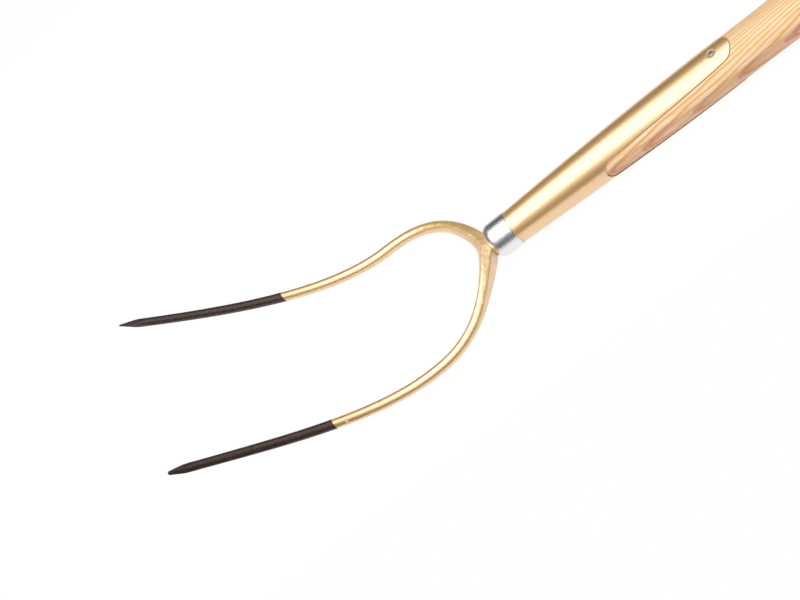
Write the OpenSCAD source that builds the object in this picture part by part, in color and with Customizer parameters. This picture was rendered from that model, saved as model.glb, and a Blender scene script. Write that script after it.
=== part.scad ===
// Two-tine pitchfork: one forged head on a straight ash handle, held by an end cap, a strap
// ferrule and one rivet. The handle's centre line runs along X, from the cap's rim at 0 to the
// butt, and the tines reach forward along -X and curve up along Z. place() then sets the whole
// tool down on its straps, with the origin on the floor under the middle of its length.

/* [Tines] */
// Distance from the cap's rim forward to the tine tips, along the handle
tine_reach = 290; // [240:1:340]
// Distance between the two tips
tip_gap = 158; // [130:1:190]
// Height of the tips above the handle's centre line
tip_rise = 100; // [60:1:130]
// Slope of a tine at its tip, above the handle's line, in degrees
tip_pitch = 38.5; // [25:0.5:48]
// Outward lean of a tine at its tip, in degrees
tip_splay = 5.5; // [0:0.5:10]
// Distance between the tines' centre lines where the shoulders end
shoulder_gap = 132; // [110:1:150]
// Distance from the cap's rim forward to the end of the shoulders
shoulder_reach = 105; // [95:1:125]
// Depth of the tines' bellies below the handle's centre line
belly_drop = 3; // [0:0.5:8]
// Diameter of a tine where its shoulder ends
tine_d = 8.8; // [7:0.1:12]
// Diameter of the far tine where its point begins
far_point_d = 6.5; // [5:0.1:9]
// Diameter of the near tine where its point begins
near_point_d = 7; // [5:0.1:9]
// Length of the four ground flats of a point
point_len = 21; // [12:1:40]
// Width of the end of the far tip
far_tip_w = 0.7; // [0.6:0.1:3]
// Width of the end of the near tip, which is worn blunt
near_tip_w = 1.8; // [0.6:0.1:3]

/* [Crotch and tang] */
// Width of the bar at the crotch, across the plane of the two tines
web_w = 12.9; // [11:0.1:16]
// Depth of the bar at the crotch, square to that plane
web_depth = 17.6; // [14:0.1:20]
// Distance along a tine in which the width falls to the tine's diameter
width_run = 55; // [40:1:80]
// Distance along a tine in which the depth and the forged flats die away
depth_run = 74; // [50:1:95]
// Distance from the cap's end forward to the middle of the web
web_setback = 2.6; // [2:0.1:5]
// Diameter of the neck that passes through the cap
neck_d = 13; // [10:0.1:15]
// Diameter of the tang where it enters the wood
tang_root_d = 10.5; // [7:0.1:12]
// Diameter of the tang at its end
tang_end_d = 5; // [3:0.1:7]
// Length of the tang in the wood
tang_len = 120; // [80:1:170]

/* [End cap] */
// Length of the cap, from its rim to its end
cap_len = 22; // [19:0.5:26]
// Thickness of the cap's sheet
cap_wall = 0.6; // [0.5:0.1:1.2]
// Loss of radius along the cap's side, from its rim to where its end begins to round
cap_draw = 0.05; // [0:0.05:0.3]
// Radius of the rounding at the cap's end
cap_round_r = 7; // [5:0.1:7]
// Length of the ferrule that the cap covers
cap_lap = 12; // [8:0.5:13]

/* [Strap ferrule] */
// Diameter of the ferrule at the cap's rim
ferrule_front_d = 27.6; // [26:0.1:31]
// Distance from the ends of the straps to where the taper of the wood ends
taper_past = 1.5; // [1:0.5:20]
// Thickness of the ferrule's sheet
strap_t = 1.2; // [0.8:0.1:1.8]
// Height of the straps above the wood beside them
strap_proud = 0.6; // [0.3:0.1:0.8]
// Distance from the cap's rim to the round ends of the two side slots
slot_start = 82; // [50:1:110]
// Radius of the slots' round ends
slot_end_r = 9.2; // [7:0.1:11]
// Width of a strap where its round tip begins
strap_tip_w = 23; // [16:0.5:26]
// Distance from the cap's rim to the ends of the straps
strap_reach = 211.5; // [160:0.5:260]

/* [Rivet] */
// Distance from the ends of the straps back to the rivet
rivet_setback = 15.5; // [10:0.5:40]
// Diameter of the rivet's shank
rivet_d = 4; // [3:0.1:6]
// Diameter of the rivet's two heads
rivet_head_d = 5; // [4:0.1:7]
// Thickness of a head
rivet_head_t = 0.6; // [0.4:0.1:0.8]
// Depth of the heads below the straps' surface
rivet_sunk = 0.2; // [0:0.05:0.3]
// Diameter of the dimple round each head
dimple_d = 6.6; // [5:0.1:9]

/* [Handle] */
// Diameter of the handle
handle_d = 36; // [32:0.5:40]
// Distance from the cap's rim to the handle's butt
handle_len = 1350; // [900:10:1600]
// Radius of the rounding at the butt
butt_r = 13; // [5:0.5:15]

/* [Fit] */
// Clearance between pieces that seat on each other
fit_gap = 0.1; // [0.05:0.05:0.2]

/* [Hidden] */
$fn = 96;

// Steps along the shoulder and the shank of a tine, and points round it
shoulder_steps = 22;
shank_steps = 30;
ring_points = 16;
// Share of the bar's width across two forged flats, so that their corners stand out as much
forge_trim = 0.97;
// Steps along the ferrule's taper, and round a quarter turn of an arc
taper_steps = 12;
arc_steps = 10;
// Overshoot of a cut past the surface that it opens
cut = 1;

handle_r = handle_d / 2;
strap_r = handle_r + strap_proud;
taper_len = strap_reach + taper_past;
taper_drop = strap_r - ferrule_front_d / 2;
bed_depth = strap_t + fit_gap;
cap_end_x = -cap_len;
cap_bend_x = cap_end_x + cap_round_r;
nose_x = cap_end_x + cap_wall + fit_gap;
neck_r = neck_d / 2;
web_x = cap_end_x - web_setback;
rivet_x = strap_reach - rivet_setback;
rivet_hole_r = rivet_d / 2 + fit_gap;
cap_rim_r = ferrule_front_d / 2 + fit_gap + cap_wall;
cap_flat_r = cap_rim_r - cap_draw - cap_round_r;
middle_x = (handle_len - tine_reach) / 2;

// Outer radius of the ferrule at a distance from the cap's rim: a parabola that levels out
function ferrule_r(x) = strap_r - taper_drop * pow(max(1 - x / taper_len, 0), 2);

// Distances at which a taper that ends at a given distance is drawn
function taper_xs(end_x) = [for (i = [0 : taper_steps]) -cap_lap + (end_x + cap_lap) * i / taper_steps];

// Point of a Bezier curve with any number of handles
function bezier(handles, t) = len(handles) == 1 ? handles[0] :
    bezier([for (i = [0 : len(handles) - 2]) (1 - t) * handles[i] + t * handles[i + 1]], t);

// Running length along a line of points
function lengths(points) =
    [for (i = 0, run = 0; i < len(points);
          i = i + 1, run = run + (i < len(points) ? norm(points[i] - points[i - 1]) : 0)) run];

// Line of one tine, from the middle of the web round the shoulder and up to the tip. The pulls
// are how far the curves' handles lie from their ends, and the knee is the shoulder's own handle:
// ahead of the web, inside the shoulder's end and above the handle's centre line.
crotch_pull = 4;
knee_ahead = 15.6;
knee_inset = 20.6;
knee_rise = 7.6;
shoulder_pull = 46;
shank_pull = 60;
shank_spread = 2.4;
tip_pull = 75;
// Power that draws the steps together towards the tip
tip_crowding = 1.4;
tip = [-tine_reach, tip_gap / 2, tip_rise];
tip_aim = [cos(tip_pitch), -sin(tip_splay), -sin(tip_pitch)];
shoulder_end = [-shoulder_reach, shoulder_gap / 2, -belly_drop];
shoulder_handles = [
    [web_x, 0, 0],
    [web_x, crotch_pull, 0],
    [web_x - knee_ahead, shoulder_gap / 2 - knee_inset, knee_rise],
    shoulder_end + [shoulder_pull, 0, 0],
    shoulder_end];
shank_handles = [
    shoulder_end,
    shoulder_end + [-shank_pull, shank_spread, 0],
    tip + tip_pull * tip_aim / norm(tip_aim),
    tip];
tine_line = concat(
    [for (i = [0 : shoulder_steps]) bezier(shoulder_handles, i / shoulder_steps)],
    [for (i = [1 : shank_steps])
        bezier(shank_handles, 1 - pow(1 - i / shank_steps, tip_crowding))]);
tine_run = lengths(tine_line);
tine_len = tine_run[len(tine_run) - 1];
shoulder_run = tine_run[shoulder_steps];

// Height of the seats under the rivet's heads, and the tool's lowest point below the centre line
rivet_seat_z = ferrule_r(rivet_x) - rivet_sunk - rivet_head_t;
floor_drop = max(ferrule_r(strap_reach), handle_r);

function clamp01(v) = min(max(v, 0), 1);

// Fades from 1 at the web to 0 at a distance along the tine
function fade(run, distance) = (1 + cos(180 * clamp01(run / distance))) / 2;

// Diameter of the drawn-out tine, without the web's flare and the ground point
function bar_d(run, point_d) =
    tine_d + (point_d - tine_d) * clamp01((run - shoulder_run) / (tine_len - point_len - shoulder_run));

// How far a section of n flats stands out at an angle, where a flat's middle is 1
function flats(n, angle) = 1 / cos((angle + 180 / n) % (360 / n) - 180 / n);

// Section of a tine: round, forged to eight flats near the web and ground to four at the point
function section(run, point_d, tip_w) =
    let(
        wide = bar_d(run, point_d) + (web_w - tine_d) * fade(run, width_run),
        deep = bar_d(run, point_d) + (web_depth - tine_d) * fade(run, depth_run),
        left = (tine_len - run) / point_len,
        ground = left >= 1 ? 2 : tip_w / point_d + (1 - tip_w / point_d) * left)
    [for (i = [0 : ring_points - 1])
        let(
            angle = 360 * i / ring_points,
            forged = 1 + (forge_trim * flats(8, angle) - 1) * fade(run, depth_run),
            out = min(forged, ground * flats(4, angle)) / 2)
        [wide * out * cos(angle), deep * out * sin(angle)]];

// One closed skin along both tines, from the far tip round the crotch to the near tip
module tine_pair() {
    last = len(tine_line) - 1;
    line = concat(
        [for (i = [last : -1 : 1]) tine_line[i]],
        [for (p = tine_line) [p.x, -p.y, p.z]]);
    runs = concat([for (i = [last : -1 : 1]) tine_run[i]], tine_run);
    count = len(line);
    rings = [for (i = [0 : count - 1])
        let(
            ahead = line[min(i + 1, count - 1)] - line[max(i - 1, 0)],
            along = ahead / norm(ahead),
            side = cross([0, 0, 1], along) / norm(cross([0, 0, 1], along)),
            up = cross(along, side),
            far = i < last,
            ring = section(runs[i], far ? far_point_d : near_point_d, far ? far_tip_w : near_tip_w))
        for (p = ring) line[i] + p.x * side + p.y * up];
    walls = [for (i = [0 : count - 2], j = [0 : ring_points - 1])
        let(
            k = (j + 1) % ring_points,
            a = i * ring_points + j,
            b = i * ring_points + k,
            c = (i + 1) * ring_points + k,
            d = (i + 1) * ring_points + j)
        for (face = [[a, c, b], [a, d, c]]) face];
    ends = [
        [for (j = [0 : ring_points - 1]) j],
        [for (j = [ring_points - 1 : -1 : 0]) (count - 1) * ring_points + j]];
    polyhedron(points = rings, faces = concat(walls, ends), convexity = 6);
}

// Turns a profile of radius and distance round the handle's centre line
module turned(profile) {
    rotate([0, 90, 0]) rotate_extrude() polygon(profile);
}

// Round bar on the handle's centre line, from one distance to another
module bar(from, to, r_from, r_to) {
    translate([from, 0, 0]) rotate([0, 90, 0]) cylinder(h = to - from, r1 = r_from, r2 = r_to);
}

// The two side openings of the ferrule and the trim round the straps' tips, drawn in by a
// margin all round, so that the same shape cuts the steel and leaves the wood between straps
module side_slots(margin) {
    tip_r = strap_tip_w / 2;
    tip_x = strap_reach - tip_r;
    past_x = strap_reach + 2 * cut;
    open_h = sqrt(pow(ferrule_r(tip_x), 2) - pow(tip_r, 2));
    round_x = slot_start + slot_end_r;
    slope = atan2(open_h, tip_x - round_x) - asin(slot_end_r / norm([tip_x - round_x, open_h]));
    round_end = [for (i = [0 : 2 * arc_steps])
        let(a = 90 + slope + (180 - 2 * slope) * i / (2 * arc_steps))
        [round_x, 0] + (slot_end_r - margin) * [cos(a), sin(a)]];
    tip_end = [for (i = [0 : 2 * arc_steps])
        let(a = -90 + 180 * i / (2 * arc_steps))
        [tip_x, 0] + (tip_r + margin) * [cos(a), sin(a)]];
    far_h = open_h - margin;
    wide = strap_r + 2 * cut;
    rotate([90, 0, 0]) linear_extrude(height = 2 * wide, center = true)
        polygon(concat(round_end, [[tip_x, -far_h], [past_x, -far_h], [past_x, far_h], [tip_x, far_h]]));
    linear_extrude(height = 2 * wide, center = true)
        polygon(concat(
            tip_end,
            [[tip_x - cut, wide], [past_x + cut, wide], [past_x + cut, -wide], [tip_x - cut, -wide]]));
}

// The ferrule's sheet, thickened inwards and outwards by given amounts
module ferrule_sheet(inward, outward) {
    xs = taper_xs(strap_reach + cut);
    turned(concat(
        [for (x = xs) [ferrule_r(x) + outward, x]],
        [for (i = [taper_steps : -1 : 0]) [ferrule_r(xs[i]) - inward, xs[i]]]));
}

// Rivet hole through both straps, with a dimple that flares from each head's seat to the surface
module rivet_cuts() {
    seat_r = rivet_head_d / 2 + fit_gap;
    dimple_h = ferrule_r(rivet_x) - rivet_seat_z;
    flare = max(dimple_d / 2 - seat_r, 0) / dimple_h;
    translate([rivet_x, 0, 0]) {
        cylinder(h = 2 * (strap_r + cut), r = rivet_hole_r, center = true);
        for (turn = [0, 180])
            rotate([turn, 0, 0]) translate([0, 0, rivet_seat_z])
                cylinder(h = dimple_h + cut, r1 = seat_r, r2 = seat_r + flare * (dimple_h + cut));
    }
}

module fork_head() {
    face_x = cap_end_x - fit_gap;
    tang_x = nose_x - fit_gap;
    color("#c9a25c") {
        difference() {
            tine_pair();
            translate([face_x, -tip_gap / 2, -web_depth]) cube([web_w, tip_gap, 2 * web_depth]);
        }
        bar(web_x, tang_x, neck_r, neck_r);
        bar(web_x, nose_x + tang_len, tang_root_d / 2, tang_end_d / 2);
    }
}

module end_cap() {
    inner_r = cap_round_r - cap_wall;
    arc = [for (i = [0 : arc_steps]) 90 * i / arc_steps];
    color("#c4c8cc")
        difference() {
            turned(concat(
                [[cap_rim_r - cap_wall, 0], [cap_rim_r, 0]],
                [for (a = arc) [cap_flat_r + cap_round_r * cos(a), cap_bend_x - cap_round_r * sin(a)]],
                [[0, cap_end_x], [0, cap_end_x + cap_wall]],
                [for (a = arc) [cap_flat_r + inner_r * sin(a), cap_bend_x - inner_r * cos(a)]]));
            bar(cap_end_x - cut, cap_end_x + cap_wall + cut, neck_r + fit_gap, neck_r + fit_gap);
        }
}

module strap_ferrule() {
    color("#c9a25c")
        difference() {
            ferrule_sheet(strap_t, 0);
            side_slots(0);
            rivet_cuts();
        }
}

module strap_rivet() {
    color("#8c8f96")
        translate([rivet_x, 0, 0]) {
            cylinder(h = 2 * rivet_seat_z, r = rivet_d / 2, center = true);
            for (turn = [0, 180])
                rotate([turn, 0, 0]) translate([0, 0, rivet_seat_z])
                    cylinder(h = rivet_head_t, r = rivet_head_d / 2);
        }
}

module handle() {
    nose_r = ferrule_r(-cap_lap) - bed_depth;
    nose_round = cap_round_r - cap_wall - fit_gap;
    nose_turn = asin(min((nose_r - cap_flat_r) / nose_round, 1));
    nose = [for (i = [0 : arc_steps]) nose_turn * i / arc_steps];
    butt = [for (i = [0 : arc_steps]) 90 * i / arc_steps];
    color("#d9ab78")
        difference() {
            turned(concat(
                [[0, nose_x]],
                [for (a = nose) [cap_flat_r + nose_round * sin(a), cap_bend_x - nose_round * cos(a)]],
                [[nose_r, -cap_lap]],
                [for (x = taper_xs(taper_len)) [ferrule_r(x) - strap_proud, x]],
                [for (a = butt)
                    [handle_r - butt_r + butt_r * cos(a), handle_len - butt_r + butt_r * sin(a)]],
                [[0, handle_len]]));
            difference() {
                ferrule_sheet(bed_depth, cut);
                side_slots(fit_gap);
            }
            bar(nose_x - cut, nose_x + tang_len + cut, tang_root_d / 2 + fit_gap, tang_end_d / 2 + fit_gap);
            translate([rivet_x, 0, 0]) cylinder(h = 2 * (strap_r + cut), r = rivet_hole_r, center = true);
        }
}

// Sets the tool down on its straps, with the middle of its length over the origin
module place() {
    translate([-middle_x, 0, floor_drop]) children();
}

place() fork_head();
place() end_cap();
place() strap_ferrule();
place() strap_rivet();
place() handle();
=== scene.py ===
import bmesh
import bpy
import numpy as np
from mathutils import Matrix, Vector


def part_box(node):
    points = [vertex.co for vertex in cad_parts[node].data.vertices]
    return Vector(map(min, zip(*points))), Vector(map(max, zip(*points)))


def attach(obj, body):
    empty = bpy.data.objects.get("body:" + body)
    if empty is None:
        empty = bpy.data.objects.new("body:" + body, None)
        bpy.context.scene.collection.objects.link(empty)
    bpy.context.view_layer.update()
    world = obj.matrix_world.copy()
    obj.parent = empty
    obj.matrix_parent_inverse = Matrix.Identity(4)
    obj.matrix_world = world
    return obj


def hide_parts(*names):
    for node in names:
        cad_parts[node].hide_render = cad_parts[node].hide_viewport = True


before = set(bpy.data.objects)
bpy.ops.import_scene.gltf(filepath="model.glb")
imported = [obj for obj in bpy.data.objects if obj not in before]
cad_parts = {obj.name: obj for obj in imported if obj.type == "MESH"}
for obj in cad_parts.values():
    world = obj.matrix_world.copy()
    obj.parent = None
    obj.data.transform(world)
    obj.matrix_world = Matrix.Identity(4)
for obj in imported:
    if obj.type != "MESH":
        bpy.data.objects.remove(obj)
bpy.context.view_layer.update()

# The forged head: one bar of steel, split, drawn out into two tines and bent, with a neck behind the
# crotch and a tapered tang that is driven into the handle. It is lacquered gold, and its points are
# dipped in a brown-black varnish afterwards, which leaves a square edge 130 mm from the tips.
mm = 0.001
rim_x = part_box("end_cap")[1].x
cap_end_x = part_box("end_cap")[0].x
axis_z = (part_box("handle")[0].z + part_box("handle")[1].z) / 2

# Where the tines go, and how far each end pulls on the curves between them
tine_reach = 290 * mm
tip_gap = 158 * mm
tip_rise = 100 * mm
tip_pitch = np.radians(38.5)
tip_splay = np.radians(5.5)
tip_pull = 75 * mm
shoulder_gap = 132 * mm
shoulder_reach = 105 * mm
shoulder_pull = 46 * mm
belly_drop = 3 * mm
belly_pull = 60 * mm
belly_out = 2.4 * mm
web_x = cap_end_x - 2.6 * mm
web_pull = 4 * mm
bend_back, bend_in, bend_rise = 15.6 * mm, 20.6 * mm, 7.6 * mm
curve_steps = 400

# How thick the bar is, from the web to the points
web_w = 12.9 * mm
web_depth = 17.6 * mm
width_run = 55 * mm
depth_run = 74 * mm
tine_d = 8.8 * mm
point_d = {"far": 6.5 * mm, "near": 7 * mm}
tip_w = {"far": 0.7 * mm, "near": 1.8 * mm}
point_len = 21 * mm
point_keenness = 40
point_blend = 14

# The web's flats, which stand at another angle on each tine, and the inside of the crotch
flats_turn = {"far": np.radians(18), "near": np.radians(2)}
flats_twist = 30 * mm
flats_keenness = 30
flats_reach = 0.96
crotch_fillet = 1.8 * mm
crotch_run = 9 * mm
crotch_ease = 4 * mm
web_lap = 1 * mm

# The hammer's blows, the coat of the dip, and one drip of lacquer behind it on the near tine
blow_size = 9 * mm
blow_depth = {"web": 0.16 * mm, "tine": 0.03 * mm}
blow_share = 0.04
dip_len = 130.5 * mm
dip_coat = 0.06 * mm
dip_blend = 9 * mm
drip_run = 189.9 * mm
drip_angle = np.radians(18)
drip_r = 0.9 * mm
drip_h = 0.55 * mm

# The cap's rounded end, which the web stops at, and the neck and tang inside
cap_round_r = 7 * mm
cap_flat_r = 7.45 * mm
neck_r = 6.5 * mm
neck_len = 0.6 * mm
tang_r = 5.2 * mm
tang_end_r = 2.5 * mm
tang_len = 120 * mm
tang_point = 2 * mm
pin_sides = 48
fit_gap = 0.1 * mm


def bezier(handles, steps):
    """Bezier curve: neighbouring handles a and b are blended to (1 - t) a + t b until one point is left."""
    t = np.linspace(0, 1, steps)[:, None, None]
    points = np.broadcast_to(np.array(handles, float), (steps, len(handles), 3))
    while points.shape[1] > 1:
        points = (1 - t) * points[:, :-1] + t * points[:, 1:]
    return points[:, 0]


def run_lengths(line):
    """Running length at each point of a line: the sum of the steps before it."""
    return np.concatenate([[0], np.cumsum(np.linalg.norm(np.diff(line, axis=0), axis=1))])


def rounded_flats(angle, count, keenness):
    """Outline of a bar with flats: its reach at an angle is the inverse p-norm of the cosines to each
    flat's middle. A keener p gives sharper corners."""
    middles = 2 * np.pi * np.arange(count) / count
    towards = np.maximum(np.cos(angle[..., None] - middles), 0)
    return (towards**keenness).sum(-1) ** (-1 / keenness)


def fade(run, distance):
    """Falls from 1 to 0 over a distance, along half a cosine wave."""
    return (1 + np.cos(np.pi * np.clip(run / distance, 0, 1))) / 2


def waves(u, v, count=24, seed=5, usual_peak=1.5):
    """Gentle unevenness, mostly between -1 and 1: a sum of sine waves over u and v in seeded directions,
    divided by the root of their count and by its usual peak."""
    draw = np.random.default_rng(seed)
    pull = draw.normal(size=(count, 2))
    start = draw.uniform(0, 2 * np.pi, count)
    total = np.sin(u[..., None] * pull[:, 0] + v[..., None] * pull[:, 1] + start)
    return total.sum(-1) / np.sqrt(count) / usual_peak


def grid_faces(rows, columns, wrap_rows=False, wrap_columns=True):
    """Four-sided faces between neighbouring rows and columns of a grid of points."""
    i = np.arange(rows if wrap_rows else rows - 1)[:, None]
    j = np.arange(columns if wrap_columns else columns - 1)[None]
    next_i, next_j = (i + 1) % rows, (j + 1) % columns
    corners = [i * columns + j, i * columns + next_j, next_i * columns + next_j, next_i * columns + j]
    return np.stack(corners, axis=-1).reshape(-1, 4)


def piece(name, points, faces, materials, face_material=None, crease=35):
    """A closed mesh riding on the tool: doubled points merged, loose edges removed, faces outwards, and
    shaded smooth but for creases, which are given in degrees."""
    mesh = bpy.data.meshes.new(name)
    mesh.from_pydata(points.reshape(-1, 3).tolist(), [], [list(face) for face in faces])
    if face_material is not None:
        mesh.polygons.foreach_set("material_index", np.asarray(face_material, np.int32))
    solid = bmesh.new()
    solid.from_mesh(mesh)
    bmesh.ops.remove_doubles(solid, verts=solid.verts, dist=1e-7)
    bmesh.ops.delete(solid, geom=[edge for edge in solid.edges if not edge.link_faces], context="EDGES")
    bmesh.ops.recalc_face_normals(solid, faces=solid.faces)
    solid.to_mesh(mesh)
    solid.free()
    mesh.shade_smooth()
    mesh.set_sharp_from_angle(angle=np.radians(crease))
    for material in materials:
        mesh.materials.append(material)
    made = bpy.data.objects.new(name, mesh)
    bpy.context.scene.collection.objects.link(made)
    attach(made, "root")
    return made


def turned(profile, sides):
    """Points of a turned shape: each (distance along, radius) of the profile is carried round the
    handle's centre line."""
    profile = np.asarray(profile, float)
    turn = 2 * np.pi * np.arange(sides) / sides
    x = np.broadcast_to(profile[:, :1], (len(profile), sides))
    return np.stack([x, -profile[:, 1:] * np.sin(turn), axis_z + profile[:, 1:] * np.cos(turn)], axis=-1)


def tine_line():
    """Centre line of one tine from the middle of the web: a bezier round the shoulder, then one up to
    the tip. The second value is its length as far as the shoulder."""
    tip = np.array([rim_x - tine_reach, tip_gap / 2, axis_z + tip_rise])
    aim = np.array([np.cos(tip_pitch), -np.sin(tip_splay), -np.sin(tip_pitch)])
    shoulder = np.array([rim_x - shoulder_reach, shoulder_gap / 2, axis_z - belly_drop])
    round_shoulder = [
        [web_x, 0, axis_z],
        [web_x, web_pull, axis_z],
        [web_x - bend_back, shoulder_gap / 2 - bend_in, axis_z + bend_rise],
        shoulder + [shoulder_pull, 0, 0],
        shoulder,
    ]
    up_to_tip = [
        shoulder,
        shoulder + [-belly_pull, belly_out, 0],
        tip + tip_pull * aim / np.linalg.norm(aim),
        tip,
    ]
    first, second = bezier(round_shoulder, curve_steps), bezier(up_to_tip, curve_steps)
    return np.concatenate([first, second[1:]]), run_lengths(first)[-1]


def forged_bar(runs, columns):
    """Skin of both tines over (run from the web, angle), where the far tine's runs are below 0: a
    six-sided forged bar that fades into a round one, tapers, and is ground to four flats at its point."""
    line, shoulder_run = tine_line()
    lengths = run_lengths(line)
    run = np.abs(runs)
    to_tip = lengths[-1] - run

    # The two lines meet at a corner, which a mean weighted by a bell curve rounds off.
    middle = np.stack([np.interp(run, lengths, line[:, k]) for k in range(3)], axis=1)
    middle[:, 1] *= -np.sign(runs)
    nearby = np.exp(-(((runs[:, None] - runs) / crotch_ease) ** 2))
    eased = nearby @ middle / nearby.sum(1)[:, None]
    middle += (eased - middle) * fade(run, 6 * crotch_ease)[:, None]
    tangent = np.gradient(middle, axis=0)
    tangent /= np.linalg.norm(tangent, axis=1)[:, None]
    side = np.cross([0, 0, 1], tangent)
    side /= np.linalg.norm(side, axis=1)[:, None]
    up = np.cross(tangent, side)

    # Its width and depth
    near = runs > 0
    end_d = np.where(near, point_d["near"], point_d["far"])
    end_w = np.where(near, tip_w["near"], tip_w["far"])
    drawn = np.clip((run - shoulder_run) / (lengths[-1] - point_len - shoulder_run), 0, 1)
    bar = tine_d + (end_d - tine_d) * drawn
    wide = bar + (web_w - tine_d) * fade(run, width_run)
    deep = bar + (web_depth - tine_d) * fade(run, depth_run)

    # Its outline: six flats at the web, which fade into a circle, and four ground flats at the point. The
    # smaller outline counts, and 0.01 and 0.02 only keep a power and a root away from zero.
    angle = np.broadcast_to(2 * np.pi * np.arange(columns) / columns, (len(runs), columns))
    towards_near = fade(flats_twist - runs, 2 * flats_twist)
    turn = flats_turn["far"] + (flats_turn["near"] - flats_turn["far"]) * towards_near
    flats = flats_reach * rounded_flats(angle - turn[:, None], 6, flats_keenness)
    forged = 1 + (flats - 1) * fade(run, depth_run)[:, None]
    slimmest = end_w / end_d
    ground = slimmest + (1 - slimmest) * (to_tip / point_len)
    ground = ground[:, None] * rounded_flats(angle, 4, point_keenness)
    out = (forged**-point_blend + np.maximum(ground, 0.01) ** -point_blend) ** (-1 / point_blend)
    end_round = np.sqrt(np.clip(1 - (1 - to_tip / (end_w / 2)) ** 2, 0.02, 1))
    blunt = np.where(to_tip < end_w / 2, end_round, 1)
    out = out * blunt[:, None] / 2

    # What lies on it: blows, the dip's coat and the drip
    uneven = waves(runs[:, None] / blow_size, 2 * np.sin(angle) + np.cos(angle))
    dents = blow_depth["web"] * fade(run, 1.5 * depth_run) + blow_depth["tine"]
    dipped = dip_coat * (to_tip < dip_len - fit_gap)
    drip = np.hypot(runs[:, None] - drip_run, bar[:, None] / 2 * (angle - drip_angle)) / drip_r
    grown = np.minimum(dents, blow_share * bar)[:, None] * uneven + dipped[:, None]
    grown = grown + drip_h * np.exp(-(drip**4))
    across = (wide[:, None] * out + grown) * np.cos(angle)
    along_depth = (deep[:, None] * out + grown) * np.sin(angle)
    inside = np.maximum(-np.cos(angle), 0) ** 2
    across -= crotch_fillet * np.exp(-((run / crotch_run) ** 2))[:, None] * inside
    offset = across[..., None] * side[:, None] + along_depth[..., None] * up[:, None]

    # Near the dip's edge the rings are slid along the tine until they stand square to the handle, as the
    # edge does in the photo: it looks as if the head was dipped points first with its handle upright.
    near_dip = fade(np.abs(to_tip - dip_len), dip_blend)
    slide = np.where(near_dip > 0, -near_dip / np.where(near_dip > 0, tangent[:, 0], 1), 0)
    upright = slide[:, None] * offset[..., 0]
    return middle[:, None] + offset + upright[..., None] * tangent[:, None]


def clear_of_cap(points):
    """Moves points forward where they would enter the cap: its end is flat to cap_flat_r and then falls
    back round a quarter circle. They stay one fit gap in front of it and lap it by web_lap at most."""
    beyond = np.maximum(np.hypot(points[..., 1], points[..., 2] - axis_z) - cap_flat_r, 0)
    fall = cap_round_r - np.sqrt(np.maximum(cap_round_r**2 - beyond**2, 0))
    limit = cap_end_x + np.minimum(fall - fit_gap, web_lap)
    return np.concatenate([np.minimum(points[..., 0], limit)[..., None], points[..., 1:]], axis=-1)


def linear(hex_colour):
    """Linear colour of an sRGB hex value: c / 12.92 below 0.04045, and ((c + 0.055) / 1.055) ^ 2.4 above."""
    c = np.array([int(hex_colour[k : k + 2], 16) for k in (1, 3, 5)]) / 255
    low, high = c / 12.92, ((c + 0.055) / 1.055) ** 2.4
    return (*np.where(c <= 0.04045, low, high), 1.0)


def add(tree, kind, inputs=(), **settings):
    """Adds one node: settings are its own properties, and inputs maps a socket to a value or a link. A
    socket goes by its number where others share its name: of a Mix, 0 is the factor, 2 and 3 are the two
    numbers and 6 and 7 the two colours."""
    made = tree.nodes.new("ShaderNode" + kind)
    for name, value in settings.items():
        setattr(made, name, value)
    for socket, value in dict(inputs).items():
        if isinstance(value, bpy.types.NodeSocket):
            tree.links.new(value, made.inputs[socket])
        else:
            made.inputs[socket].default_value = value
    return made


def finish_named(name, shader_inputs):
    """A new material with its shader's own sockets set, and a place in millimetres for its patterns."""
    made = bpy.data.materials.new(name)
    made.use_nodes = True
    tree = made.node_tree
    shader = tree.nodes["Principled BSDF"]
    for socket, value in shader_inputs.items():
        shader.inputs[socket].default_value = value
    where = add(tree, "TexCoord")
    place = add(tree, "Mapping", {"Vector": where.outputs["Object"], "Scale": (1 / mm, 1 / mm, 1 / mm)})
    return made, tree, shader, place.outputs["Vector"]


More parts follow.
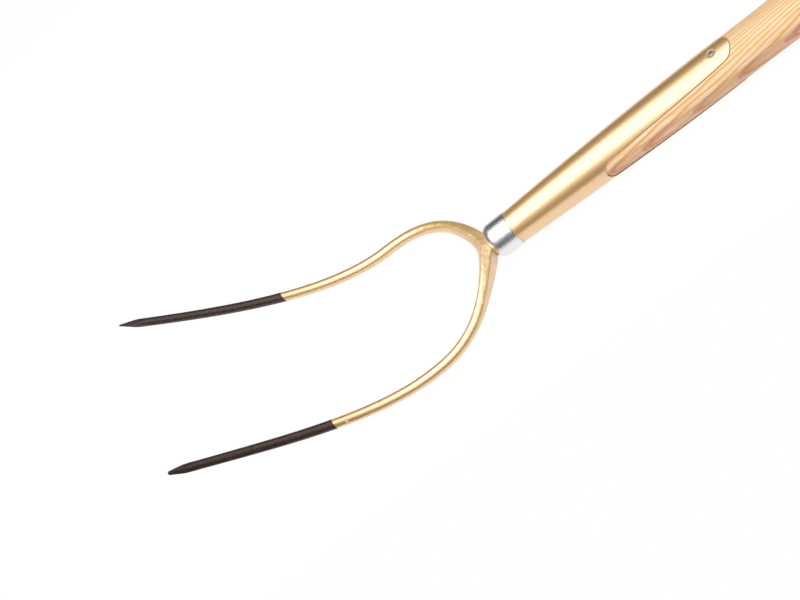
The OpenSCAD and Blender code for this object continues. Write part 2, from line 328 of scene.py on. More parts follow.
def gold_lacquer(name, dent_height, dent_size, forged_x=None):
    """Bronze powder in clear lacquer over steel: half metal and half paint, so a brown-gold body shows in
    its dark reflections, under a pale gloss. Behind forged_x, hammer scale under it makes it duller, paler
    and more dented. dent_height is in metres, and dent_size and forged_x are in mm."""
    # No varnish has an IOR of 3.3: it stands in for the powder that lies flat at the lacquer's surface.
    gloss = {"Metallic": 0.58, "Coat Weight": 1.0, "Coat Roughness": 0.3, "Coat IOR": 3.3, "Roughness": 0.32}
    made, tree, shader, place = finish_named(name, gloss)

    # In mm, and matched: clouds 11 mm wide, and specks, six to 10 mm, for the grains of the powder,
    # which in such lacquer are about 0.03 mm and too fine to show.
    cloud_size, speck_size, speck_height = 100 / 9, 10 / 6, 0.4 * mm
    cloud = add(tree, "TexNoise", {"Vector": place, "Scale": 1 / cloud_size, "Detail": 3})
    grain = add(tree, "TexNoise", {"Vector": place, "Scale": 1 / speck_size, "Detail": 4, "Roughness": 0.75})
    dents = add(tree, "TexNoise", {"Vector": place, "Scale": 1 / dent_size, "Detail": 1.5})
    body_colours = {6: linear("#EEB65A"), 7: linear("#F7C366")}
    body = add(tree, "Mix", {0: cloud.outputs["Fac"], **body_colours}, data_type="RGBA")
    speck = add(
        tree, "MapRange", {"Value": grain.outputs["Fac"], "From Min": 0.35, "From Max": 0.65, "To Max": 0.6}
    )
    brown = linear("#D89A48")
    tint = add(tree, "Mix", {0: speck.outputs[0], 6: body.outputs[2], 7: brown}, data_type="RGBA")
    fine = add(tree, "Bump", {"Height": grain.outputs["Fac"], "Distance": speck_height, "Strength": 0.2})
    beaten = {"Height": dents.outputs["Fac"], "Distance": dent_height, "Normal": fine.outputs[0]}
    worked = add(tree, "Bump", {**beaten, "Strength": 1.0})
    if forged_x is not None:
        split = add(tree, "SeparateXYZ", {0: place})
        thin_x, full_x = forged_x - 45, forged_x + 10
        forged = add(
            tree,
            "MapRange",
            {"Value": split.outputs["X"], "From Min": thin_x, "From Max": full_x},
            interpolation_type="SMOOTHSTEP",
        )
        forged = forged.outputs[0]
        dusty = add(tree, "MapRange", {"Value": forged, "To Max": 0.35})
        dust = linear("#E8CA84")
        tint = add(tree, "Mix", {0: dusty.outputs[0], 6: tint.outputs[2], 7: dust}, data_type="RGBA")
        sheen = add(tree, "MapRange", {"Value": forged, "To Min": 0.32, "To Max": 0.5})
        scale = add(tree, "MapRange", {"Value": forged, "To Min": 0.1, "To Max": 0.5})
        blows = add(tree, "MapRange", {"Value": forged, "To Min": 0.12, "To Max": 1.0})
        tree.links.new(sheen.outputs[0], shader.inputs["Roughness"])
        tree.links.new(scale.outputs[0], fine.inputs["Strength"])
        tree.links.new(blows.outputs[0], worked.inputs["Strength"])
    tree.links.new(tint.outputs[2], shader.inputs["Base Color"])
    tree.links.new(worked.outputs[0], shader.inputs["Normal"])
    tree.links.new(worked.outputs[0], shader.inputs["Coat Normal"])
    return made


def dipped_varnish():
    """Bitumen varnish, dipped and air-dried: warm brown-black with a dull gloss, streaked along the
    tine where it ran, and thin over the grinding marks."""
    made, tree, shader, place = finish_named("bitumen_varnish", {"Specular IOR Level": 0.65})

    # Fine runs and grinding marks are usually 0.1 to 0.3 mm wide. They are drawn 0.9 mm wide so that
    # they show.
    streak_len, streak_w, streak_height = 10 / 3.5, 10 / 11, 0.25 * mm
    streak_scale = (1 / streak_len, 1 / streak_w, 1 / streak_w)
    along = add(tree, "Mapping", {"Vector": place, "Scale": streak_scale})
    streaks = add(
        tree, "TexNoise", {"Vector": along.outputs[0], "Scale": 1.0, "Detail": 5, "Roughness": 0.65}
    )
    streaks = streaks.outputs["Fac"]
    patch = add(tree, "MapRange", {"Value": streaks, "From Min": 0.38, "From Max": 0.66})
    varnish_colours = {6: linear("#211210"), 7: linear("#47302A")}
    tint = add(tree, "Mix", {0: patch.outputs[0], **varnish_colours}, data_type="RGBA")
    dull_range = {"From Min": 0.3, "From Max": 0.7, "To Min": 0.22, "To Max": 0.4}
    dull = add(tree, "MapRange", {"Value": streaks, **dull_range})
    runs_down = add(tree, "Bump", {"Height": streaks, "Distance": streak_height, "Strength": 1.0})
    tree.links.new(tint.outputs[2], shader.inputs["Base Color"])
    tree.links.new(dull.outputs[0], shader.inputs["Roughness"])
    tree.links.new(runs_down.outputs[0], shader.inputs["Normal"])
    return made


# Rings of the tines, from the web to the tip: how far they are close together at the web, the drip and
# the point, and how close. The dip's edge has one ring at each side.
tine_len = run_lengths(tine_line()[0])[-1]
dip_run = tine_len - dip_len
web_fine, web_step = 90 * mm, 0.7 * mm
point_fine, point_step = 26 * mm, 0.6 * mm
tip_fine, tip_steps = 1 * mm, 12
drip_fine, drip_step = 2 * mm, 0.25 * mm
tine_step = 1.4 * mm
half_runs = np.unique(
    np.concatenate(
        [
            np.arange(0, web_fine, web_step),
            np.arange(web_fine, dip_run, tine_step),
            np.arange(drip_run - drip_fine, drip_run + drip_fine, drip_step),
            [dip_run, dip_run + 2 * fit_gap],
            np.arange(dip_run + tine_step, tine_len - point_fine, tine_step),
            np.arange(tine_len - point_fine, tine_len - tip_fine, point_step),
            tine_len - (1 - np.sin(np.linspace(0, np.pi / 2, tip_steps))) * tip_fine,
        ]
    )
)
runs = np.concatenate([-half_runs[:0:-1], half_runs])
columns = 64
bar = clear_of_cap(forged_bar(runs, columns))
bar_faces = grid_faces(len(runs), columns)
bar_ends = [list(range(columns)), list(range((len(runs) - 1) * columns, len(runs) * columns))]
row_is_dipped = tine_len - np.abs(runs[:-1] + runs[1:]) / 2 < dip_len

tang = turned(
    [
        [cap_end_x - fit_gap, 0],
        [cap_end_x - fit_gap, neck_r],
        [cap_end_x + neck_len, neck_r],
        [cap_end_x + neck_len, tang_r],
        [cap_end_x + tang_len, tang_end_r],
        [cap_end_x + tang_len + tang_point, 0],
    ],
    pin_sides,
)
tang_faces = grid_faces(len(tang), pin_sides) + bar[..., 0].size

# Hammer scale is left on the web, as far as 30 mm in front of the cap.
scale_x = cap_end_x / mm - 30
forging_lacquer = gold_lacquer(
    "bronze_lacquer_on_forging", dent_height=0.8 * mm, dent_size=7, forged_x=scale_x
)
head = piece(
    "head",
    np.concatenate([bar.reshape(-1, 3), tang.reshape(-1, 3)]),
    [*bar_faces.tolist(), *bar_ends, *tang_faces.tolist()],
    [forging_lacquer, dipped_varnish()],
    face_material=[*np.repeat(row_is_dipped, columns), True, True, *np.zeros(len(tang_faces), bool)],
    crease=40,
)
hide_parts("fork_head")

# The end cap: a cup drawn from steel sheet and bright plated, with a hole for the neck. It is pushed
# over the front of the ferrule and holds its mouth closed, and its rim is left square.
cap_rim_r = 14.5 * mm
cap_wall = 0.6 * mm
cap_lip = 0.2 * mm
cap_hole_r = neck_r + fit_gap
cap_sides = 128
cap_steps = 24


def cap_profile():
    """Section of the cap: straight sides, a quarter circle at the end, and the same less the wall inside."""
    quarter = np.linspace(0, np.pi / 2, cap_steps)
    bend_x = cap_end_x + cap_round_r
    inner_r = cap_round_r - cap_wall
    outer_sin, outer_cos = cap_round_r * np.sin(quarter), cap_round_r * np.cos(quarter)
    inner_sin, inner_cos = inner_r * np.sin(quarter), inner_r * np.cos(quarter)
    outside = np.stack([bend_x - outer_sin, cap_flat_r + outer_cos], 1)
    inside = np.stack([bend_x - inner_cos, cap_flat_r + inner_sin], 1)
    rim = [[rim_x, cap_rim_r - cap_wall], [rim_x, cap_rim_r - cap_lip], [rim_x - cap_lip, cap_rim_r]]
    hole = [[cap_end_x, cap_hole_r], [cap_end_x + cap_wall, cap_hole_r]]
    return np.concatenate([rim, outside, hole, inside])


def bright_plate():
    """Zinc plate, bright dipped over drawn steel: a clear mirror, a little clouded, with a slight orange
    peel that the drawing left and that frays the edges of what it mirrors."""
    made, tree, shader, place = finish_named("bright_zinc_plate", {"Metallic": 1.0})

    # The pits of such a peel are about 0.2 mm, too fine to show. They are drawn 1.25 mm wide.
    pit_size, pit_depth = 1.25, 0.25 * mm
    marks = add(tree, "TexNoise", {"Vector": place, "Scale": 1 / pit_size, "Detail": 4, "Roughness": 0.8})
    marks = marks.outputs["Fac"]
    tint = add(tree, "Mix", {0: marks, 6: linear("#E2E2E4"), 7: linear("#F2F2F5")}, data_type="RGBA")
    cloud_range = {"From Min": 0.3, "From Max": 0.7, "To Min": 0.1, "To Max": 0.2}
    cloud = add(tree, "MapRange", {"Value": marks, **cloud_range})
    peel = add(tree, "Bump", {"Height": marks, "Distance": pit_depth, "Strength": 1.0})
    tree.links.new(tint.outputs[2], shader.inputs["Base Color"])
    tree.links.new(cloud.outputs[0], shader.inputs["Roughness"])
    tree.links.new(peel.outputs[0], shader.inputs["Normal"])
    return made


cap_points = turned(cap_profile(), cap_sides)
cap = piece("cap", cap_points, grid_faces(*cap_points.shape[:2], wrap_rows=True), [bright_plate()])
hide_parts("end_cap")

# The handle: one length of ash, turned straight and sanded, with a thin clear coat. Its head end is
# tapered and bored for the tang, and a bed is cut for the ferrule and its two straps.
handle_r = 18 * mm
butt_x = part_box("handle")[1].x
butt_r = 13 * mm
butt_rings = 14
nose_x = cap_end_x + cap_wall + fit_gap
nose_share = 0.9
strap_proud = 0.6 * mm
strap_t = 1.2 * mm
strap_r = handle_r + strap_proud
ferrule_front_r = 13.8 * mm
strap_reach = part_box("strap_ferrule")[1].x - rim_x
taper_len = strap_reach + 1.5 * mm
cap_lap = 12 * mm
slot_start = 82 * mm
slot_end_r = 9.2 * mm
slot_turn = 16 * mm
strap_tip_r = 11.5 * mm
bed_gap = 0.35 * mm
bed_turn = 12 * mm
ring_step = 1 * mm
hair = 1e-9


def ferrule_r(x):
    """Radius of the ferrule's skin behind the cap's rim: a parabola that levels out past the straps."""
    left = np.maximum(1 - x / taper_len, 0)
    return strap_r - (strap_r - ferrule_front_r) * left**2


def strap_edge(x, margin=0.0):
    """Angle from the top of the handle to a strap's edge. In side view a slot has a round end and two
    straight sides, and in top view a strap has a half-round tip; both outlines are laid on the skin."""
    radius = ferrule_r(x)
    tip_x = strap_reach - strap_tip_r
    round_x = slot_start + slot_end_r
    open_h = np.sqrt(ferrule_r(tip_x) ** 2 - strap_tip_r**2)
    reach = np.hypot(tip_x - round_x, open_h)
    slope = np.arctan2(open_h, tip_x - round_x) - np.arcsin(slot_end_r / reach)
    end_r = slot_end_r - margin
    touch_x = round_x - end_r * np.sin(slope)
    arc_h = np.sqrt(np.maximum(end_r**2 - (x - round_x) ** 2, 0))
    side_h = end_r * np.cos(slope) + (x - touch_x) * np.tan(slope)
    slot_h = np.where(x < touch_x, arc_h, side_h)
    tip_r = strap_tip_r + margin
    beside_slot = np.arccos(np.clip(slot_h / radius, 0, 1))
    beside_tip = np.arcsin(np.sqrt(np.maximum(tip_r**2 - np.maximum(x - tip_x, 0) ** 2, 0)) / radius)
    return np.where(x < tip_x, beside_slot, beside_tip)


def handle_stations():
    """Distances of the handle's rings from the cap's rim: closer together at the ends of the slots and
    straps, where the bed's edge turns."""
    front_rings, turn_rings, bed_rings, grip_rings = 24, 30, 60, 90
    ease = 1 - np.cos(np.linspace(0, np.pi / 2, turn_rings))
    slot_x, tip_x = slot_start + bed_gap, strap_reach + bed_gap
    return np.concatenate(
        [
            np.linspace(-cap_lap, slot_x, front_rings),
            slot_x + slot_turn * ease,
            np.linspace(slot_x + slot_turn + ring_step, tip_x - bed_turn - ring_step, bed_rings),
            tip_x - bed_turn * ease[::-1],
            [tip_x],
            np.linspace(tip_x + ring_step, butt_x - rim_x - butt_r, grip_rings),
        ]
    )


def handle_grid(bed_columns=20, slot_columns=20):
    """Skin of the handle over (distance, angle): in each quarter the bed under half a strap, then a step
    up to the bare wood beside it. A hair decides for the rings that lie right on a limit."""
    x = handle_stations()[:, None]
    skin_r = np.where(x < taper_len, ferrule_r(x), strap_r)
    edge = strap_edge(x, bed_gap)
    edge = np.where(x < slot_start + bed_gap, np.pi / 2, edge)
    edge = np.where(x > strap_reach + bed_gap - hair, 0, edge)
    bed_angle = edge * np.linspace(0, 1, bed_columns)
    wood_angle = edge + (np.pi / 2 - edge) * np.linspace(0, 1, slot_columns)
    bed_r = np.broadcast_to(skin_r - strap_t - fit_gap, bed_angle.shape)
    bed_r = np.where(x > strap_reach + bed_gap, skin_r - strap_proud, bed_r)
    wood_r = np.broadcast_to(skin_r - strap_proud, wood_angle.shape)
    wood_r = np.where(x < slot_start + bed_gap - hair, skin_r - strap_t - fit_gap, wood_r)
    angle = np.concatenate([bed_angle, wood_angle], axis=1)
    radius = np.concatenate([bed_r, wood_r], axis=1)
    angle = np.concatenate([angle, np.pi - angle[:, ::-1], np.pi + angle, 2 * np.pi - angle[:, ::-1]], 1)
    radius = np.concatenate([radius, radius[:, ::-1], radius, radius[:, ::-1]], axis=1)
    x = np.broadcast_to(x, angle.shape)
    return np.stack([rim_x + x, -radius * np.sin(angle), axis_z + radius * np.cos(angle)], axis=-1)


def ash():
    """Flat-sawn ash, turned and sanded: pale straw wood with a crisp orange line of open pores at the
    start of each year's ring, and a darker, pinker tone on the handle's lower near side, which is partly
    the heartwood's colour and partly painted shade. A place's year is its distance r from the pith as
    (bark_r / slowing) (r / bark_r) ^ slowing, so that rings get narrower towards the bark, plus a slow
    wave along the handle and some wandering, divided by the width of a ring."""
    thin_coat = {"Coat Weight": 0.15, "Coat Roughness": 0.3, "Specular IOR Level": 0.3}
    made, tree, shader, place = finish_named("turned_ash", thin_coat)

    # The tree, in mm, as its lines in the photo suggest it: 90 mm in radius, with its pith beside the
    # handle. The widths of the lines were matched.
    ring_width = 1.65
    pore_zone = 0.22
    bark_r = 90
    slowing = 4.4
    pith = (0, 74.26, 20)
    sway_len, sway_start, sway = 1215, -240, 7.65
    wander_len, wander_w, wander = 1000 / 12, 20, 3.75
    # The handle's lower near side, which gets the darker, pinker colours: partly the heartwood's tone and
    # partly painted shade
    heart_and_shade_side = (0, -0.72, -0.69)
    heart_and_shade_wander = 5.0

    # Ash has fibres of 0.02 mm and pores of up to 0.3 mm, too fine to show: they are drawn as streaks
    # 0.8 mm wide.
    fibre_len, fibre_w, fray = 25, 10 / 12, 0.45
    pore_depth = 0.06 * mm

    wander_scale = (1 / wander_len, 1 / wander_w, 1 / wander_w)
    wandering = add(tree, "Mapping", {"Vector": place, "Scale": wander_scale})
    drift = add(tree, "TexNoise", {"Vector": wandering.outputs[0], "Scale": 1.0, "Detail": 2})
    drift = drift.outputs["Fac"]
    fibre_scale = (1 / fibre_len, 1 / fibre_w, 1 / fibre_w)
    long_grain = add(tree, "Mapping", {"Vector": place, "Scale": fibre_scale})
    fibres = add(
        tree, "TexNoise", {"Vector": long_grain.outputs[0], "Scale": 1.0, "Detail": 5, "Roughness": 0.7}
    )
    fibres = fibres.outputs["Fac"]
    streak = add(tree, "MapRange", {"Value": fibres, "From Min": 0.34, "From Max": 0.66})

    # The year that each place grew in, and how far into it
    flat = add(tree, "Mapping", {"Vector": place, "Scale": (0, 1, 1), "Location": [-v for v in pith]})
    from_pith = add(tree, "VectorMath", {0: flat.outputs[0]}, operation="LENGTH")
    share = add(tree, "Math", {0: from_pith.outputs["Value"], 1: bark_r}, operation="DIVIDE")
    slowed = add(tree, "Math", {0: share.outputs[0], 1: slowing}, operation="POWER")
    grown = add(tree, "Math", {0: slowed.outputs[0], 1: bark_r / slowing}, operation="MULTIPLY")
    split = add(tree, "SeparateXYZ", {0: place})
    phase = 2 * np.pi / sway_len
    wave_terms = {0: split.outputs["X"], 1: phase, 2: -phase * sway_start}
    along = add(tree, "Math", wave_terms, operation="MULTIPLY_ADD")
    swayed = add(tree, "Math", {0: along.outputs[0]}, operation="SINE")
    lean_terms = {0: swayed.outputs[0], 1: sway, 2: grown.outputs[0]}
    leaned = add(tree, "Math", lean_terms, operation="MULTIPLY_ADD")
    bent = add(tree, "Math", {0: drift, 1: wander, 2: leaned.outputs[0]}, operation="MULTIPLY_ADD")
    frayed = add(tree, "Math", {0: fibres, 1: fray, 2: bent.outputs[0]}, operation="MULTIPLY_ADD")
    years = add(tree, "Math", {0: frayed.outputs[0], 1: ring_width}, operation="DIVIDE")
    season = add(tree, "Math", {0: years.outputs[0]}, operation="FRACT")
    year = add(tree, "Math", {0: years.outputs[0]}, operation="FLOOR")
    season = season.outputs[0]

    # The pores: they start at once, fade out, lie in two rows, and are stronger in some years
    chance = add(tree, "TexWhiteNoise", {"W": year.outputs[0]}, noise_dimensions="1D")
    rise = add(tree, "MapRange", {"Value": season, "From Max": 0.015})
    fall_range = {"From Min": pore_zone, "From Max": 2.2 * pore_zone, "To Min": 1.0, "To Max": 0.0}
    fall = add(tree, "MapRange", {"Value": season, **fall_range})
    swing = add(tree, "Math", {0: season, 1: 2 * np.pi / pore_zone}, operation="MULTIPLY")
    swing = add(tree, "Math", {0: swing.outputs[0]}, operation="COSINE")
    paired = add(tree, "MapRange", {"Value": swing.outputs[0], "From Min": -1.0, "To Min": 0.65})
    strength = add(tree, "MapRange", {"Value": chance.outputs["Value"], "To Min": 0.8})
    broken = add(tree, "MapRange", {"Value": fibres, "From Min": 0.35, "From Max": 0.6, "To Min": 0.85})
    pores = rise
    for part in (fall, paired, strength, broken):
        pores = add(tree, "Math", {0: pores.outputs[0], 1: part.outputs[0]}, operation="MULTIPLY")
    pores = pores.outputs[0]

    # The colours: sapwood, and a darker, pinker tone that is partly heartwood and partly painted shade, each
    # with its streaks and its lines of pores
    sap_colours = {6: linear("#F9C58A"), 7: linear("#FFF2D4")}
    sap = add(tree, "Mix", {0: streak.outputs[0], **sap_colours}, data_type="RGBA")
    sap = add(tree, "Mix", {0: pores, 6: sap.outputs[2], 7: linear("#EE9C00")}, data_type="RGBA")
    heart_and_shade_colours = {6: linear("#CA8C62"), 7: linear("#F6D2AC")}
    heart_and_shade = add(tree, "Mix", {0: streak.outputs[0], **heart_and_shade_colours}, data_type="RGBA")
    heart_and_shade = add(tree, "Mix", {0: pores, 6: heart_and_shade.outputs[2], 7: linear("#C4845E")}, data_type="RGBA")
    # Painted shade together with the heartwood's tone: the darker, pinker colours are blended in towards the
    # lower near side
    towards_heart_and_shade = add(tree, "VectorMath", {0: place, 1: heart_and_shade_side}, operation="DOT_PRODUCT")
    edge_terms = {0: drift, 1: heart_and_shade_wander, 2: towards_heart_and_shade.outputs["Value"]}
    heart_and_shade_edge = add(tree, "Math", edge_terms, operation="MULTIPLY_ADD")
    depth = add(
        tree,
        "MapRange",
        {"Value": heart_and_shade_edge.outputs[0], "From Min": -3.2, "From Max": 0.6},
        interpolation_type="SMOOTHSTEP",
    )
    tint = add(tree, "Mix", {0: depth.outputs[0], 6: sap.outputs[2], 7: heart_and_shade.outputs[2]}, data_type="RGBA")
    sheen = add(tree, "MapRange", {"Value": pores, "To Min": 0.42, "To Max": 0.6})
    relief = add(tree, "Bump", {"Height": pores, "Distance": -pore_depth, "Strength": 0.6})
    tree.links.new(tint.outputs[2], shader.inputs["Base Color"])
    tree.links.new(sheen.outputs[0], shader.inputs["Roughness"])
    tree.links.new(relief.outputs[0], shader.inputs["Normal"])
    return made


# The butt is rounded off in rings that shrink from the last one along a quarter circle, and a flat face
# closes each end.
wood = handle_grid()
around = wood.shape[1]
ring = wood[-1] - [0, 0, axis_z]
turn = np.linspace(0, np.pi / 2, butt_rings + 2)[1:-1, None, None]
butt_x_run = np.broadcast_to(butt_x - butt_r * (1 - np.sin(turn)), (butt_rings, around, 1))
butt_size = (handle_r - butt_r * (1 - np.cos(turn))) / handle_r
butt = np.concatenate([butt_x_run, ring[None, :, 1:] * butt_size], axis=2) + [0, 0, axis_z]
flat_share = (handle_r - butt_r) / handle_r
flat_end = ring * [0, flat_share, flat_share] + [butt_x, 0, axis_z]
nose = (wood[0] - [wood[0, 0, 0], 0, axis_z]) * nose_share + [nose_x, 0, axis_z]
wood = np.concatenate([nose[None], wood, butt, flat_end[None]])
wood_ends = [list(range(around)), list(range((len(wood) - 1) * around, len(wood) * around))]
handle = piece("ash_handle", wood, [*grid_faces(len(wood), around).tolist(), *wood_ends], [ash()], crease=50)
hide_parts("handle")

# The strap ferrule: steel sheet rolled to a tapered tube, slit at both sides into an upper and a lower
# strap with round tips, and lacquered gold with the head. It is dimpled and riveted through the handle.
dimple_r = 3.3 * mm
dimple_depth = 0.55 * mm
dimple_run = 7.5 * mm
dimple_step = 0.5 * mm
tip_turn = 12.5 * mm
rivet_x = strap_reach - 15.5 * mm
strap_columns = 81


def ferrule_stations():
    """Distances of the ferrule's rings from the cap's rim, closer together where its edges turn."""
    front_rings, turn_rings, strap_rings, dimple_rings = 40, 40, 60, 24
    ease = 1 - np.cos(np.linspace(0, np.pi / 2, turn_rings))
    dimple_x = rivet_x - dimple_run
    return np.concatenate(
        [
            np.linspace(-cap_lap, slot_start, front_rings)[:-1],
            slot_start + slot_turn * ease,
            np.linspace(slot_start + slot_turn + ring_step, dimple_x - dimple_step, strap_rings),
            np.linspace(dimple_x, strap_reach - tip_turn - dimple_step, dimple_rings),
            strap_reach - tip_turn * ease[::-1],
        ]
    )


def ferrule_grid(columns):
    """Upper and lower half of the ferrule's skin over (distance, share of the strap's half angle), with
    the rivet's dimple sunk along a bell curve."""
    x = ferrule_stations()[:, None]
    edge = np.where(x <= slot_start, np.pi / 2, strap_edge(x))
    angle = edge * np.linspace(-1, 1, columns)
    away = np.hypot(x - rivet_x, strap_r * angle)
    radius = ferrule_r(x) - dimple_depth * np.exp(-((away / dimple_r) ** 4))
    x = np.broadcast_to(x, angle.shape)
    upper = np.stack([rim_x + x, -radius * np.sin(angle), radius * np.cos(angle)], axis=-1)
    lower = upper * [1, -1, -1]
    return upper + [0, 0, axis_z], lower + [0, 0, axis_z]


def sheared_edge_and_shade():
    """Edge of the sheet, rough from the shear: thin lacquer over dark steel, which shows as a brown line,
    painted darker still as shade in the gap along the slots' edges.
    """
    made, tree, shader, place = finish_named("sheared_edge_lacquer_and_painted_shade", {"Metallic": 0.3})

    # A shear's tears are usually about 0.2 mm wide. They are drawn 0.7 mm wide so that they show.
    tear_size, tear_depth = 10 / 15, 0.2 * mm
    rough = add(tree, "TexNoise", {"Vector": place, "Scale": 1 / tear_size, "Detail": 3})
    rough = rough.outputs["Fac"]
    # Dark brown: partly the sheared steel under thin lacquer and partly painted shade along the straps'
    # edges
    tint = add(tree, "Mix", {0: rough, 6: linear("#4A2E18"), 7: linear("#6E4A2C")}, data_type="RGBA")
    dull_range = {"From Min": 0.3, "From Max": 0.7, "To Min": 0.45, "To Max": 0.65}
    dull = add(tree, "MapRange", {"Value": rough, **dull_range})
    torn = add(tree, "Bump", {"Height": rough, "Distance": tear_depth, "Strength": 1.0})
    tree.links.new(tint.outputs[2], shader.inputs["Base Color"])
    tree.links.new(dull.outputs[0], shader.inputs["Roughness"])
    tree.links.new(torn.outputs[0], shader.inputs["Normal"])
    return made


upper, lower = ferrule_grid(strap_columns)
half_faces = grid_faces(*upper.shape[:2], wrap_columns=False)
sheet_lacquer = gold_lacquer("bronze_lacquer_on_sheet", dent_height=0.12 * mm, dent_size=14)
ferrule = piece(
    "ferrule",
    np.stack([upper, lower]),
    np.concatenate([half_faces, half_faces + upper[..., 0].size]),
    [sheet_lacquer, sheared_edge_and_shade()],
    crease=50,
)
wall = ferrule.modifiers.new("sheet", "SOLIDIFY")
wall.thickness = strap_t
wall.offset = -1
wall.use_even_offset = True
wall.material_offset_rim = 1
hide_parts("strap_ferrule")

# The rivet: one steel pin through both straps and the handle, with a flat head set down into the
# dimple at each end. Its lacquer was knocked off when it was set, so it shows bare blue-grey steel.
rivet_r = 2 * mm
rivet_head_r = 2.2 * mm
rivet_head_t = 0.6 * mm
rivet_dome = 0.25 * mm
rivet_sunk = 0.2 * mm
rivet_top = strap_r - rivet_sunk
dome_steps = 12


def rivet_profile():
    """Section of the rivet as (distance from its middle, radius): the shank, then at both ends a head
    that is domed like a shallow parabola."""
    share = np.linspace(1, 0, dome_steps)
    dome = np.stack([rivet_top - rivet_dome * share**2, rivet_head_r * share], 1)
    seat = rivet_top - rivet_head_t - rivet_dome
    upper_half = np.concatenate([[[0, rivet_r], [seat, rivet_r], [seat, rivet_head_r]], dome])
    return np.concatenate([upper_half[:0:-1] * [-1, 1], upper_half[1:]])


def rivet_steel():
    """Mild steel, bare where the set struck it: a blue-grey satin with small hammer marks."""
    made, tree, shader, place = finish_named("bare_steel", {"Metallic": 1.0})

    # Marks of the setting tool, 0.7 mm wide, which is a guess: the photo doesn't show them apart.
    mark_size, mark_depth = 10 / 14, 0.1 * mm
    marks = add(tree, "TexNoise", {"Vector": place, "Scale": 1 / mark_size, "Detail": 3})
    marks = marks.outputs["Fac"]
    tint = add(tree, "Mix", {0: marks, 6: linear("#8A90AC"), 7: linear("#B9BED0")}, data_type="RGBA")
    dull_range = {"From Min": 0.3, "From Max": 0.7, "To Min": 0.22, "To Max": 0.42}
    dull = add(tree, "MapRange", {"Value": marks, **dull_range})
    struck = add(tree, "Bump", {"Height": marks, "Distance": mark_depth, "Strength": 1.0})
    tree.links.new(tint.outputs[2], shader.inputs["Base Color"])
    tree.links.new(dull.outputs[0], shader.inputs["Roughness"])
    tree.links.new(struck.outputs[0], shader.inputs["Normal"])
    return made


rivet_points = turned(rivet_profile(), pin_sides) - [0, 0, axis_z]
rivet_points = rivet_points[..., [2, 1, 0]] + [rim_x + rivet_x, 0, axis_z]
rivet = piece("rivet", rivet_points, grid_faces(*rivet_points.shape[:2]), [rivet_steel()])
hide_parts("strap_rivet")

# The floor and the light: a white sheet under the tool and a large soft box above, with a brighter core
# towards the tines, a card beside the camera, and a room that is dim at eye level. The sheet ends at
# paper_near, so that the lower side of the round lacquered pieces mirrors the dim room as a dark band.
paper_near, paper_far, paper_end = -0.13, 0.6, 1.3
shadow_share = 0.1
paper_glow = 1.05


def white_sheet():
    """Matt white paper: it shows as plain white with a faint shadow, and metal mirrors it as white."""
    made = bpy.data.materials.new("white_paper")
    made.use_nodes = True
    tree = made.node_tree
    tree.nodes.clear()
    path = add(tree, "LightPath")
    eye_or_gloss = {0: path.outputs["Is Camera Ray"], 1: path.outputs["Is Glossy Ray"]}
    seen = add(tree, "Math", eye_or_gloss, operation="MAXIMUM")
    or_glass = {0: seen.outputs[0], 1: path.outputs["Is Transmission Ray"]}
    seen = add(tree, "Math", or_glass, operation="MAXIMUM")
    share = add(tree, "Math", {0: seen.outputs[0], 1: 1 - shadow_share}, operation="MULTIPLY")
    paper = add(tree, "BsdfDiffuse", {"Color": linear("#F3F3F3")})
    plain = add(tree, "Emission", {"Color": linear("#FFFFFF"), "Strength": paper_glow})
    mixed = add(tree, "MixShader", {0: share.outputs[0], 1: paper.outputs[0], 2: plain.outputs[0]})
    add(tree, "OutputMaterial", {"Surface": mixed.outputs[0]})
    return made


floor_mesh = bpy.data.meshes.new("floor")
paper = [(-paper_end, paper_near), (paper_end, paper_near), (paper_end, paper_far), (-paper_end, paper_far)]
floor_mesh.from_pydata([(x, y, 0) for x, y in paper], [], [(0, 1, 2, 3)])
floor_mesh.materials.append(white_sheet())
floor = bpy.data.objects.new("floor", floor_mesh)
bpy.context.scene.collection.objects.link(floor)

# Each lamp's name, place, tilt in degrees, width, depth and strength, where a strength of 1 is as bright
# as a white wall. The tubes in the core show only in gloss, and the card lights only matt surfaces.
for name, place, tilt, width, depth, strength in [
    ("soft_box", (-0.3, -0.2, 1.35), 0, 2.7, 1.85, 0.8),
    ("soft_box_core", (-1.15, -0.2, 1.35), 0, 1.1, 0.9, 4.5),
    ("soft_box_tubes", (-1.2, -0.2, 1.35), 0, 0.9, 0.8, 9.0),
    ("reflector_card", (-0.3, -1.5, 0.5), 72, 2.7, 0.9, 1.1),
]:
    light = bpy.data.lights.new(name, "AREA")
    light.shape = "RECTANGLE"
    light.size, light.size_y = width, depth
    light.energy = strength * np.pi * width * depth
    lamp = bpy.data.objects.new(name, light)
    lamp.location = place
    lamp.rotation_euler.x = np.radians(tilt)
    lamp.visible_camera = False
    lamp.visible_diffuse = name != "soft_box_tubes"
    lamp.visible_glossy = name != "reflector_card"
    bpy.context.scene.collection.objects.link(lamp)

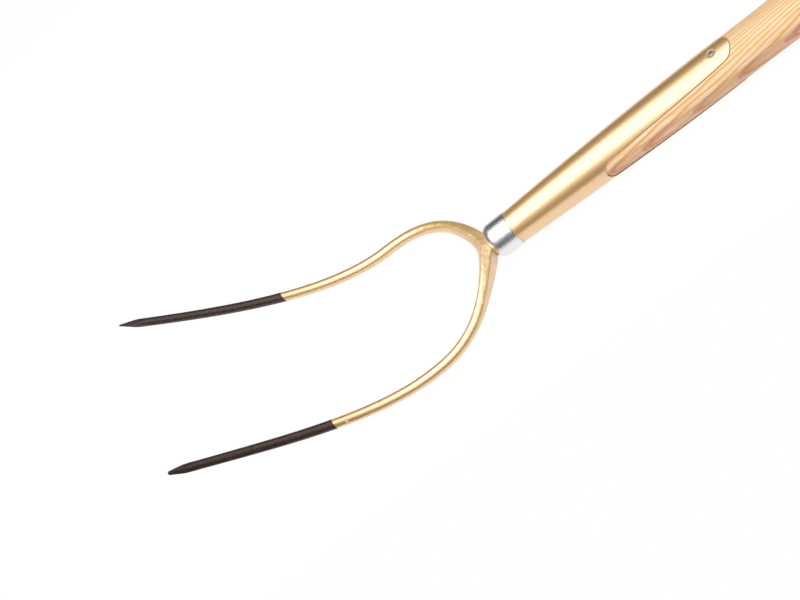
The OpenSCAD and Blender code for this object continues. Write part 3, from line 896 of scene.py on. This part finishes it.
# The room in gloss gets brighter from the walls up, towards room_top, a little to the camera's side of
# straight up. Matt surfaces get an even fill from it, and behind the paper it shows as plain white.
room_top = (0, -0.174, 0.985)
wall_brightness, ceiling_brightness, room_fill = 0.12, 1.0, 0.27
world = bpy.data.worlds.new("room")
bpy.context.scene.world = world
world.use_nodes = True
tree = world.node_tree
tree.nodes.clear()
direction = add(tree, "TexCoord")
height = add(tree, "VectorMath", {0: direction.outputs["Generated"], 1: room_top}, operation="DOT_PRODUCT")
room_range = {"From Min": 0.45, "From Max": 0.91, "To Min": wall_brightness, "To Max": ceiling_brightness}
walls = add(
    tree, "MapRange", {"Value": height.outputs["Value"], **room_range}, interpolation_type="SMOOTHSTEP"
)
path = add(tree, "LightPath")
in_gloss = {0: path.outputs["Is Glossy Ray"], 2: room_fill, 3: walls.outputs[0]}
fill = add(tree, "Mix", in_gloss, data_type="FLOAT")
shown = add(tree, "Mix", {0: path.outputs["Is Camera Ray"], 2: fill.outputs[0], 3: 1.0}, data_type="FLOAT")
room = add(tree, "Background", {"Color": linear("#FFFFFF"), "Strength": shown.outputs[0]})
add(tree, "OutputWorld", {"Surface": room.outputs[0]})

# The camera: a long lens above the near side, rolled so that the handle runs out at the upper right.
# Its aim, direction and distance were worked out from the outlines of the handle, cap and tines.
aim = Vector((-0.6278, -0.0111, 0.0430))
azimuth, elevation, roll = np.radians([20.48, 44.25, -52.33])
distance = 1.813
camera_data = bpy.data.cameras.new("camera")
camera_data.lens = 108.68
camera_data.sensor_width = 36
camera_data.clip_start, camera_data.clip_end = 0.05, 200
camera = bpy.data.objects.new("camera", camera_data)
bpy.context.scene.collection.objects.link(camera)
level = np.cos(elevation)
back = Vector((np.sin(azimuth) * level, -np.cos(azimuth) * level, np.sin(elevation)))
upright = (-back).to_track_quat("-Z", "Y").to_matrix().to_4x4()
camera.matrix_world = Matrix.Translation(aim + distance * back) @ upright @ Matrix.Rotation(roll, 4, "Z")
bpy.context.scene.camera = camera
bpy.context.scene.view_settings.view_transform = "Standard"
